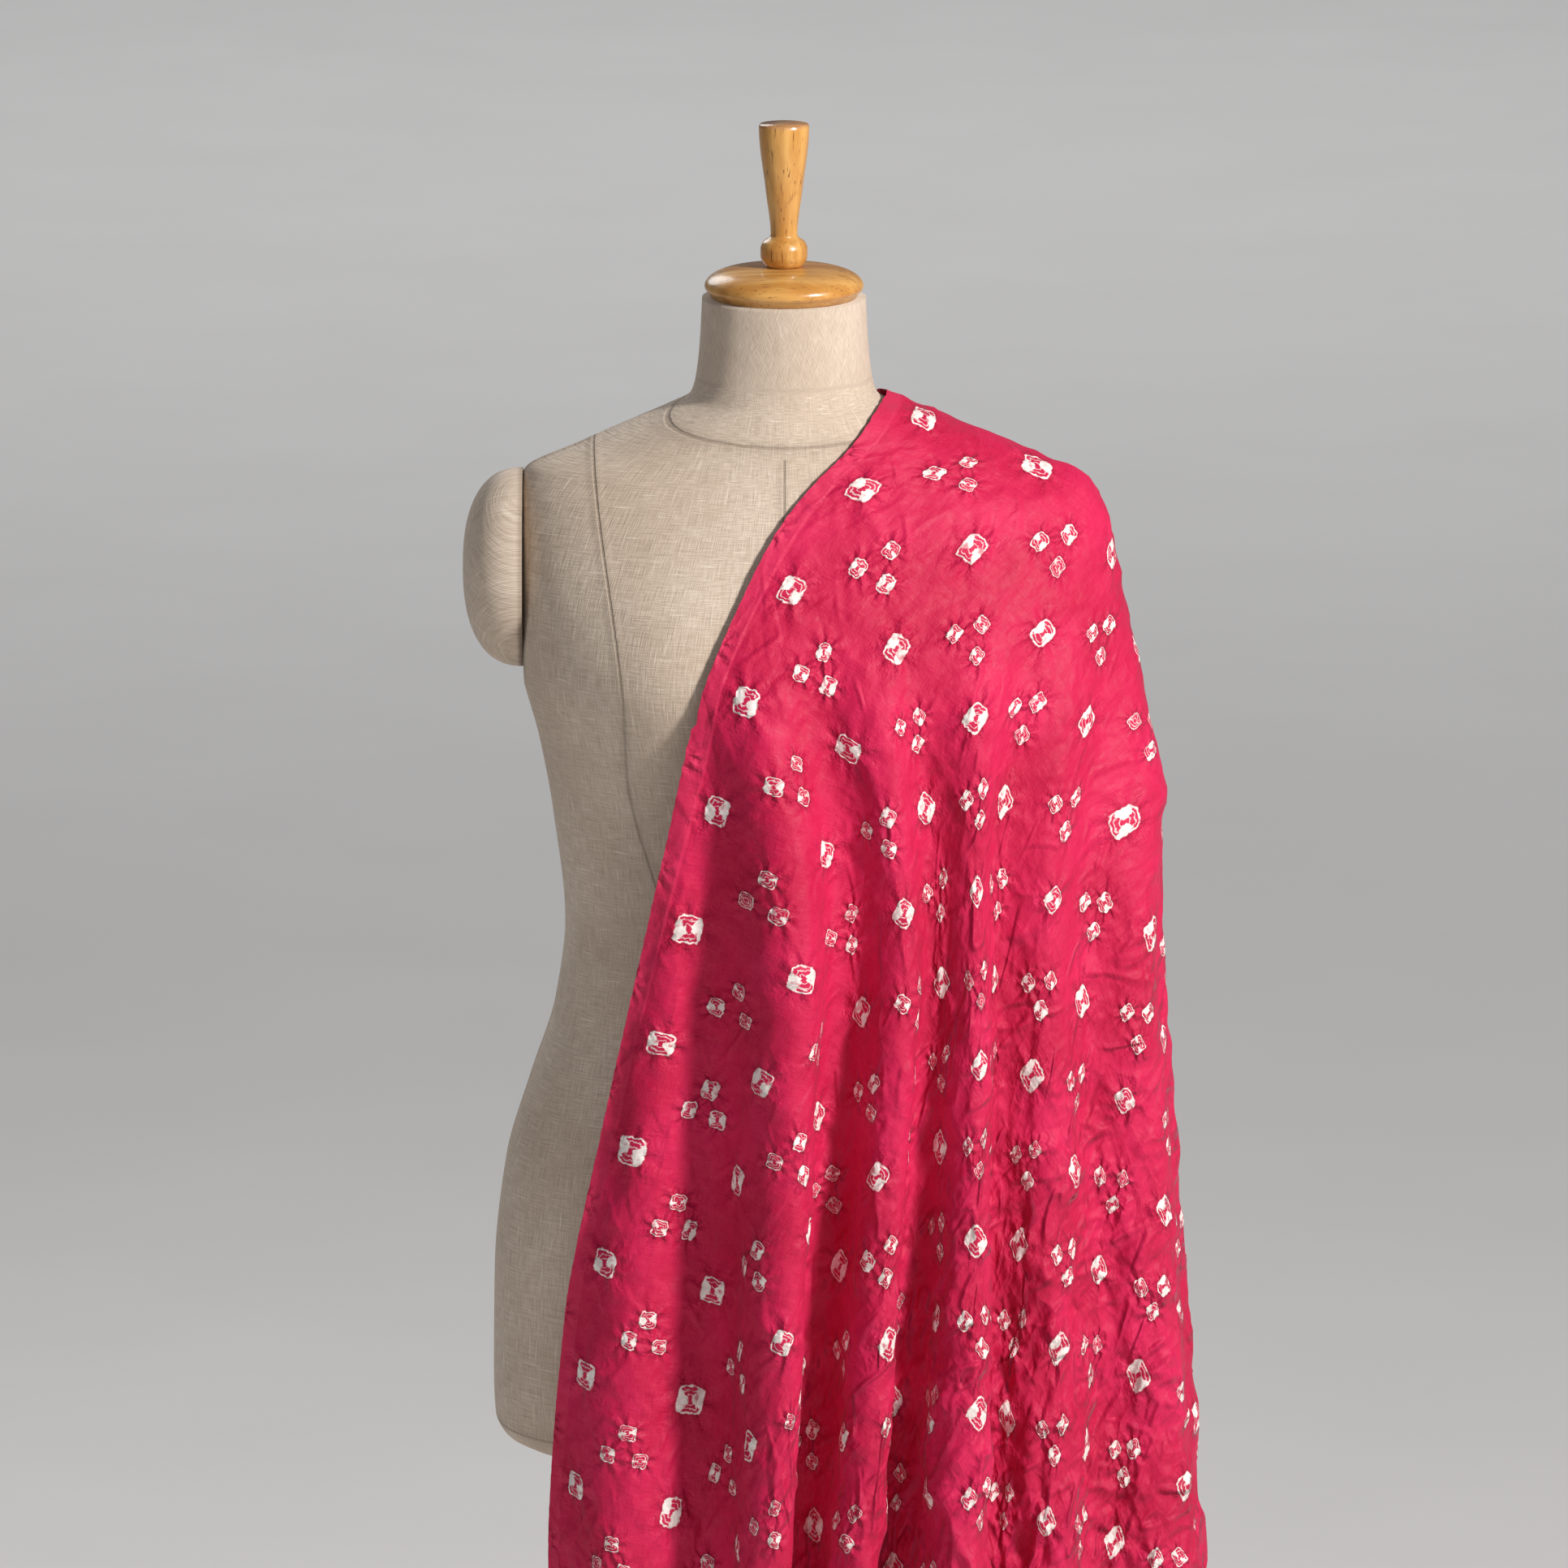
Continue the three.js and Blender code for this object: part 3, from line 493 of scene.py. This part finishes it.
def cloth_material():
    m, k, sh = material("cloth", Roughness=.60, Sheen_Weight=.08, Sheen_Roughness=.35, Specular_IOR_Level=.28)
    sh.inputs["Sheen Tint"].default_value = (1.0, .55, .68, 1)
    uvn = m.node_tree.nodes.new("ShaderNodeUVMap")
    uvn.uv_map = "flat"
    flat = k.vec("MULTIPLY_ADD", uvn.outputs[0], (1.9, 1.9, 0), (0, -.95, 0))  # metres in the flat cloth
    drift = k.n.new("ShaderNodeTexNoise")  # hand-tied rows are not ruled
    drift.inputs["Scale"].default_value, drift.inputs["Detail"].default_value = 9.0, 1.0
    k.l.new(flat, drift.inputs["Vector"])
    tied = k.vec("ADD", flat, k.vec("SCALE", k.vec("SUBTRACT", drift.outputs["Color"], (.5, .5, .5)), .010))
    tied = k.vec("MULTIPLY", tied, (1, 1, 0))
    cell = k.vec("MULTIPLY_ADD", tied, (1 / .075, 1 / .075, 0), (.5 - FIRST_U / PITCH, .5 - FIRST_V / PITCH, 0))
    group = spot_group()
    whites, halos, rises, rays = [], [], [], []

    def spot(local, half, seed):
        n = k.n.new("ShaderNodeGroup")
        n.node_tree = group
        k.put(n, 0, local)
        n.inputs[1].default_value = half
        k.put(n, 2, seed)
        whites.append(n.outputs[0]); halos.append(n.outputs[1]); rises.append(n.outputs[2]); rays.append(n.outputs[3])

    def local(shift):
        c = k.vec("ADD", cell, shift)
        home = k.vec("FLOOR", c)
        return k.vec("SCALE", k.vec("MULTIPLY", k.vec("SUBTRACT", k.vec("SUBTRACT", c, home), (.5, .5, 0)), (1, 1, 0)), .075), home

    at, home = local((0, 0, 0))
    spot(at, BIG_HALF * MM, k.random(k.vec("ADD", home, (.5, .5, 3))))
    at, home = local((.5, .5, 0))
    high = TRIO * MM * math.sqrt(3) / 2
    for i, off in enumerate(((0, high * .62), (-TRIO * MM / 2, -high * .38), (TRIO * MM / 2, -high * .38))):
        spot(k.vec("ADD", at, (off[0], off[1], 0)), SMALL_HALF * MM, k.random(k.vec("ADD", home, (.5, .5, 7 + 5 * i))))
    top = lambda xs: k.math("MAXIMUM", k.math("MAXIMUM", xs[0], xs[1]), k.math("MAXIMUM", xs[2], xs[3]))
    white, halo, rise = top(whites), top(halos), top(rises)
    ray = k.math("ADD", k.math("ADD", rays[0], rays[1]), k.math("ADD", rays[2], rays[3]))
    # ground: crimson, uneven dye, paler worn threads, thread-fine weave
    u, v, _ = k.split(flat)
    cloud = k.noise(flat, 11, 3, .55)
    ground = k.mix(k.step(cloud, .32, .70), lin(182, 8, 60), lin(202, 22, 78))
    mottle = k.noise(k.vec("MULTIPLY", flat, (1, 1, 0)), 150, 4, .62)
    ground = k.mix(k.step(mottle, .58, .82, 0, .45), ground, lin(222, 56, 108))
    ground = k.mix(k.step(mottle, .20, .42, .50, 0), ground, lin(168, 8, 48))
    warp = k.noise(k.vec("MULTIPLY", flat, (1500, 90, 0)), 1.0, 1)
    weft = k.noise(k.vec("MULTIPLY", flat, (90, 1500, 0)), 1.0, 1)
    thread = k.math("ADD", warp, weft)
    ground = k.mix(k.step(thread, .75, 1.25, 0, .12), ground, lin(232, 84, 120))
    # selvedge: a paler, tighter band along both long edges, hems across the ends
    side = k.math("MINIMUM", u, k.math("SUBTRACT", CLOTH_WIDTH * MM, u))
    end = k.math("SUBTRACT", CLOTH_HALF * MM, k.math("ABSOLUTE", v))
    band = k.step(side, .0095, .0120, 1, 0)
    hem = k.step(end, .0100, .0112, 1, 0)
    stitch = k.math("MULTIPLY", k.step(k.math("ABSOLUTE", k.math("SUBTRACT", end, .0092)), .0003, .0007, 1, 0),
                    k.step(k.math("SINE", k.math("MULTIPLY", u, 2 * math.pi / .0032)), -.2, .2))
    ground = k.mix(k.math("MULTIPLY", band, .22), ground, lin(230, 70, 110))
    ground = k.mix(k.math("MULTIPLY", halo, .30), ground, lin(140, 4, 38))
    white = k.math("MULTIPLY", white, k.step(side, .0115, .0140))  # none are tied on the selvedge
    ground = k.mix(k.math("MULTIPLY", stitch, .6), ground, lin(150, 8, 44))
    colour = k.mix(white, ground, k.mix(k.step(mottle, .35, .65), lin(226, 212, 208), lin(246, 240, 236)))
    k.l.new(colour, sh.inputs["Base Color"])
    # relief: tied points stand up, resist creases run out from them, small crinkles in the ground
    crimp = k.noise(k.vec("MULTIPLY", tied, (64, 30, 0)), 1.0, 1.5, .5)
    cross = k.noise(k.vec("MULTIPLY", k.vec("ADD", tied, (3, 5, 0)), (30, 56, 0)), 1.0, 1.5, .5)
    fold = k.math("SUBTRACT", 1.0, k.math("ABSOLUTE", k.math("MULTIPLY_ADD", crimp, 4, -2)))
    fold2 = k.math("SUBTRACT", 1.0, k.math("ABSOLUTE", k.math("MULTIPLY_ADD", cross, 4, -2)))
    slack = k.step(k.math("MULTIPLY_ADD", v, .3, u), .20, .62, .30, 1.0)
    height = k.math("MULTIPLY", k.math("ADD", fold, k.math("MULTIPLY", fold2, .7)), slack)
    # sharp creases running slantwise between the tied points
    da, db = k.math("ADD", u, k.math("MULTIPLY", v, .45)), k.math("SUBTRACT", u, k.math("MULTIPLY", v, .6))
    for a, b, seed in ((da, v, 11), (db, v, 23), (u, v, 31)):
        n1 = k.noise(k.join(k.math("MULTIPLY", a, 34), k.math("MULTIPLY", b, 10), seed), 1.0, 1.2, .5)
        gate = k.step(k.noise(k.join(u, v, seed + 3), 26, 1), .46, .60)
        thin = k.step(k.math("ABSOLUTE", k.math("SUBTRACT", n1, .5)), .0, .085, 1, 0)
        height = k.math("MULTIPLY_ADD", k.math("MULTIPLY", k.math("MULTIPLY", thin, gate), slack), 1.5, height)
    height = k.math("MULTIPLY_ADD", ray, .55, height)
    height = k.math("MULTIPLY_ADD", rise, .55, k.math("MULTIPLY", height, .62))
    height = k.math("ADD", height, k.math("MULTIPLY", k.math("MAXIMUM", band, hem), .35))
    height = k.math("MULTIPLY_ADD", mottle, .35, height)
    b1 = k.bump(height, .95, .0026)
    b2 = k.bump(thread, .22, .0004, b1)
    k.l.new(b2, sh.inputs["Normal"])
    k.l.new(k.step(mottle, .3, .7, .54, .70), sh.inputs["Roughness"])
    return m


# ---------------------------------------------------------------- form materials
def linen_material(name, bias):
    m, k, sh = material(name, Roughness=.88, Sheen_Weight=.12, Sheen_Roughness=.5, Specular_IOR_Level=.2)
    p = k.coords("Object")
    x, y, z = k.split(p)
    round_ = k.math("MULTIPLY", k.math("ARCTAN2", x, k.math("SUBTRACT", .0, y)), .125)
    if bias == "cap":
        a, b = y, z
    else:
        a, b = round_, z
    # the neck is covered on the bias
    turned_ = 1.0 if bias == "cap" else k.step(z, 1.385, 1.388)
    da, db = k.math("MULTIPLY", k.math("SUBTRACT", a, b), .7071), k.math("MULTIPLY", k.math("ADD", a, b), .7071)
    if bias == "cap":
        wa, wb = da, db
    else:
        wa = k.math("ADD", k.math("MULTIPLY", a, k.math("SUBTRACT", 1, turned_)), k.math("MULTIPLY", da, turned_))
        wb = k.math("ADD", k.math("MULTIPLY", b, k.math("SUBTRACT", 1, turned_)), k.math("MULTIPLY", db, turned_))
    w = k.join(wa, wb)
    warp = k.noise(k.vec("MULTIPLY", w, (1500, 70, 0)), 1.0, 2, .6)
    weft = k.noise(k.vec("MULTIPLY", w, (70, 1500, 0)), 1.0, 2, .6)
    slub = k.noise(k.vec("MULTIPLY", w, (45, 620, 0)), 1.0, 2, .5)
    slub2 = k.noise(k.vec("MULTIPLY", k.vec("ADD", w, (2, 3, 0)), (620, 45, 0)), 1.0, 2, .5)
    cloud = k.noise(p, 14, 3, .5)
    col = k.mix(k.step(cloud, .3, .7), lin(206, 188, 170), lin(220, 204, 187))
    cloth = k.math("MULTIPLY", warp, weft)
    col = k.mix(k.step(cloth, .12, .36, .55, 0), col, lin(158, 139, 118))
    col = k.mix(k.step(k.math("MAXIMUM", slub, slub2), .61, .75, 0, .55), col, lin(236, 226, 211))
    fleck = k.noise(k.vec("MULTIPLY", w, (260, 420, 0)), 1.0, 1)
    col = k.mix(k.step(fleck, .75, .81, 0, .45), col, lin(130, 108, 86))
    height = k.math("ADD", k.math("ADD", warp, weft), k.math("MULTIPLY", k.math("MAXIMUM", slub, slub2), .8))
    if bias != "cap":
        # seams: centre lines, shaped seams over the bust and back, side seams, neck line, bottom edge
        ax = k.math("ABSOLUTE", x)
        shaped = k.math("ADD", k.step(z, 1.00, 1.16, .066, .100), k.math("ADD", k.step(z, 1.16, 1.37, 0, .022), k.step(z, .70, 1.00, .028, 0)))
        d_mid = k.math("ADD", ax, k.step(z, 1.345, 1.350, 0, 1))
        d_pr = k.math("ADD", k.math("ABSOLUTE", k.math("SUBTRACT", ax, shaped)), k.step(z, 1.352, 1.354, 0, 1))
        d_side = k.math("ADD", k.math("ABSOLUTE", k.math("ADD", y, .002)), k.step(ax, .10, .12, 1, 0))
        neck = k.math("MULTIPLY_ADD", y, .30, 1.3715)
        d_neck = k.math("ADD", k.math("ABSOLUTE", k.math("SUBTRACT", z, neck)), k.step(ax, .085, .090, 0, 1))
        d_low = k.math("ABSOLUTE", k.math("SUBTRACT", z, .7045))
        d = d_mid
        for e in (d_pr, d_side, d_neck, d_low):
            d = k.math("MINIMUM", d, e)
        d = k.math("MULTIPLY_ADD", k.math("SUBTRACT", slub, .5), .0006, d)
        line = k.step(d, .0004, .0012, 1, 0)
        swell = k.step(d, .0010, .0065, 1, 0)
        col = k.mix(k.math("MULTIPLY", line, .34), col, lin(112, 94, 78))
        col = k.mix(k.math("MULTIPLY", swell, .14), col, lin(120, 104, 88))
        height = k.math("ADD", height, k.math("SUBTRACT", k.math("MULTIPLY", swell, .9), k.math("MULTIPLY", line, 2.6)))
        # the joint line beside the arm cap
        joint = k.step(ax, .1635, .1655)
        top = k.step(z, 1.195, 1.205)
        col = k.mix(k.math("MULTIPLY", k.math("MULTIPLY", joint, top), .35), col, lin(96, 80, 66))
    else:
        rim = k.step(k.math("ABSOLUTE", x), .1672, .1705, 1, 0)
        col = k.mix(k.math("MULTIPLY", rim, .55), col, lin(92, 76, 62))
    k.l.new(col, sh.inputs["Base Color"])
    k.l.new(k.bump(height, .42, .0011), sh.inputs["Normal"])
    return m


def wood_material(name, along):
    stretch = lambda across, down: (down, across, across) if along == "x" else (across, across, down)
    m, k, sh = material(name, Roughness=.32, Coat_Weight=.35, Coat_Roughness=.10, Specular_IOR_Level=.5)
    p = k.coords("Object")
    bend = k.noise(p, 18, 2)
    q = k.vec("ADD", p, k.vec("SCALE", k.join(bend, bend, 0.0), .012))
    grain = k.noise(k.vec("MULTIPLY", q, stretch(95, 9)), 1.0, 3, .55)
    ring = k.math("SINE", k.math("MULTIPLY", k.math("ADD", k.split(q)[1 if along == "x" else 0], k.math("MULTIPLY", k.split(q)[2 if along == "x" else 1], .35)), 620))
    col = k.mix(k.step(grain, .30, .72), lin(190, 132, 62), lin(224, 174, 100))
    col = k.mix(k.step(ring, -.2, 1.0, 0, .22), col, lin(178, 122, 60))
    pore = k.noise(k.vec("MULTIPLY", p, stretch(900, 70)), 1.0, 1)
    col = k.mix(k.step(pore, .64, .72, 0, .8), col, lin(112, 66, 30))
    z = k.split(p)[2]
    edge = k.step(z, 1.5460, 1.5480, 0, .45)  # sawn end of the handle
    col = k.mix(edge, col, lin(170, 120, 96))
    k.l.new(col, sh.inputs["Base Color"])
    k.l.new(k.step(grain, .3, .7, .24, .38), sh.inputs["Roughness"])
    k.l.new(k.bump(k.math("SUBTRACT", grain, k.math("MULTIPLY", k.step(pore, .64, .72), .8)), .18, .0006), sh.inputs["Normal"])
    return m


def stand_material():
    m, k, sh = material("stand", Roughness=.42, Metallic=.0, Specular_IOR_Level=.5, Coat_Weight=.12, Coat_Roughness=.3)
    p = k.coords("Object")
    x, y, z = k.split(p)
    cloud = k.noise(p, 24, 3)
    col = k.mix(k.step(cloud, .3, .7), lin(36, 34, 33), lin(48, 46, 44))
    r = k.math("SQRT", k.math("ADD", k.math("MULTIPLY", x, x), k.math("MULTIPLY", y, y)))
    wear = k.math("MULTIPLY", k.step(r, .150, .169), k.step(k.noise(p, 160, 3), .50, .72))
    col = k.mix(k.math("MULTIPLY", wear, .5), col, lin(104, 98, 92))
    dust = k.math("MULTIPLY", k.step(k.noise(p, 60, 4, .6), .45, .75), k.step(z, .019, .022))
    col = k.mix(k.math("MULTIPLY", dust, k.step(z, .04, .03, 0, .18)), col, lin(150, 144, 136))
    k.l.new(col, sh.inputs["Base Color"])
    k.l.new(k.step(cloud, .3, .7, .36, .52), sh.inputs["Roughness"])
    k.l.new(k.bump(k.noise(p, 900, 2), .10, .0004), sh.inputs["Normal"])
    return m


def floor_material():
    m, k, sh = material("floor", Roughness=.85, Specular_IOR_Level=.2)
    col = k.mix(k.noise(k.coords("Object"), 3, 3), (.74, .73, .715, 1), (.79, .78, .765, 1))
    k.l.new(col, sh.inputs["Base Color"])
    return m


# ---------------------------------------------------------------- pieces
def dress(ob, mat, node):
    ob.data.materials.append(mat)
    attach(ob, "root")
    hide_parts(node)
    return ob


CLOTH, LINEN, CAP = cloth_material(), linen_material("linen", "body"), linen_material("linen_cap", "cap")
WOOD, BUN_WOOD, STAND = wood_material("wood", "z"), wood_material("wood_bun", "x"), stand_material()

pts, faces, uv = cloth_mesh()
cloth = dress(make("bandhani_cloth", pts, faces, uv), CLOTH, "cloth")
form = dress(make("form_cover", *torso_mesh()), LINEN, "form_body")
cap_r = dress(make("arm_cover_right", *arm_cap_mesh(-1)), CAP, "arm_cap_right")
cap_l = dress(make("arm_cover_left", *arm_cap_mesh(1)), CAP, "arm_cap_left")

z0 = NECK_POINT_Z - BUN["bottom"]
bun, lift = [(BUN["radius"] - 5, z0), (BUN["radius"] - 4, z0 + .05)], 6.5
for i in range(41):
    a = (math.pi / 2) * (-.35 + 1.35 * i / 40)
    h = math.sin(a) * (lift if a < 0 else BUN["high"] - lift)
    r = BUN["radius"] * max(math.cos(a), 0) ** (.35 if a < 0 else .55)
    if r > 12:
        bun.append((r, z0 + lift + h))
bun.append((12, z0 + BUN["high"]))
neck_cap = dress(make("neck_cap_wood", *turned(bun)), BUN_WOOD, "neck_cap")

foot = z0 + BUN["high"] + GAP
rows = np.unique(np.concatenate([np.linspace(0, 20, 41), np.linspace(20, 88, 30), np.linspace(88, 91, 9)]))
handle = [(float(curve(h, FINIAL["above"], FINIAL["radius"])), foot + float(h)) for h in rows]
finial = dress(make("handle_wood", *turned(handle, 80)), WOOD, "finial")

top = NECK_POINT_Z - TORSO_BOTTOM - GAP
pole_rows = [(POLE_RADIUS, BASE_HIGH + GAP), (POLE_RADIUS, BASE_HIGH + 40)] + [(POLE_RADIUS, z) for z in np.linspace(80, top - 2, 12)] + [(POLE_RADIUS, top)]
pole = dress(make("stand_pole", *turned(pole_rows, 64)), STAND, "pole")
base_rows = [(BASE_RADIUS - 2, 0), (BASE_RADIUS - .6, .6), (BASE_RADIUS, 2), (BASE_RADIUS, BASE_HIGH - 8)]
for i in range(1, 13):
    a = math.pi / 2 * i / 12
    base_rows.append((BASE_RADIUS - 14 * (1 - math.cos(a)), BASE_HIGH - 8 + 8 * math.sin(a)))
base_rows += [(60, BASE_HIGH), (24, BASE_HIGH), (16, BASE_HIGH)]
base = dress(make("stand_foot", *turned(base_rows, 128)), STAND, "base")

# ---------------------------------------------------------------- stage, light, camera
n = 30.0
fl = bpy.data.meshes.new("floor")
fl.from_pydata([(-n, -n, 0), (n, -n, 0), (n, n, 0), (-n, n, 0)], [], [(0, 1, 2, 3)])
floor = bpy.data.objects.new("floor", fl)
bpy.context.scene.collection.objects.link(floor)
fl.materials.append(floor_material())


def lamp(name, at, aim, size, power, colour=(1, 1, 1), gloss=True):
    d = bpy.data.lights.new(name, "AREA")
    d.shape, d.size, d.energy, d.color = "DISK", size, power, colour
    o = bpy.data.objects.new(name, d)
    bpy.context.scene.collection.objects.link(o)
    from mathutils import Vector
    o.location = at
    o.visible_glossy = gloss
    o.rotation_euler = (Vector(aim) - Vector(at)).to_track_quat("-Z", "Y").to_euler()


lamp("key", (2.3, -2.0, 3.0), (.05, 0, 1.0), .5, 165, (1.0, .96, .92))
lamp("fill", (-2.4, -3.0, 1.9), (0, 0, 1.0), 2.2, 22, (1.0, .98, .96), gloss=False)
lamp("back", (-1.2, 2.4, 2.6), (0, 0, 1.1), 1.4, 18)
lamp("floor_wash", (0, 9.5, 7.0), (0, 8.5, 0), 7.0, 330, gloss=False)
world = bpy.data.worlds.new("studio")
world.use_nodes = True
world.node_tree.nodes["Background"].inputs[0].default_value = (.90, .92, 1.0, 1)
world.node_tree.nodes["Background"].inputs[1].default_value = .14
bpy.context.scene.world = world
bpy.context.scene.view_settings.view_transform = "Standard"

from mathutils import Vector
cam = bpy.data.cameras.new("camera")
cam.sensor_width, cam.lens = 36.0, 250.9
cam.clip_end = 200.0
co = bpy.data.objects.new("camera", cam)
bpy.context.scene.collection.objects.link(co)
co.location = (0, -6.834, 2.636)
co.rotation_euler = (Vector((0, 0, 1.121)) - co.location).to_track_quat("-Z", "Y").to_euler()
bpy.context.scene.camera = co
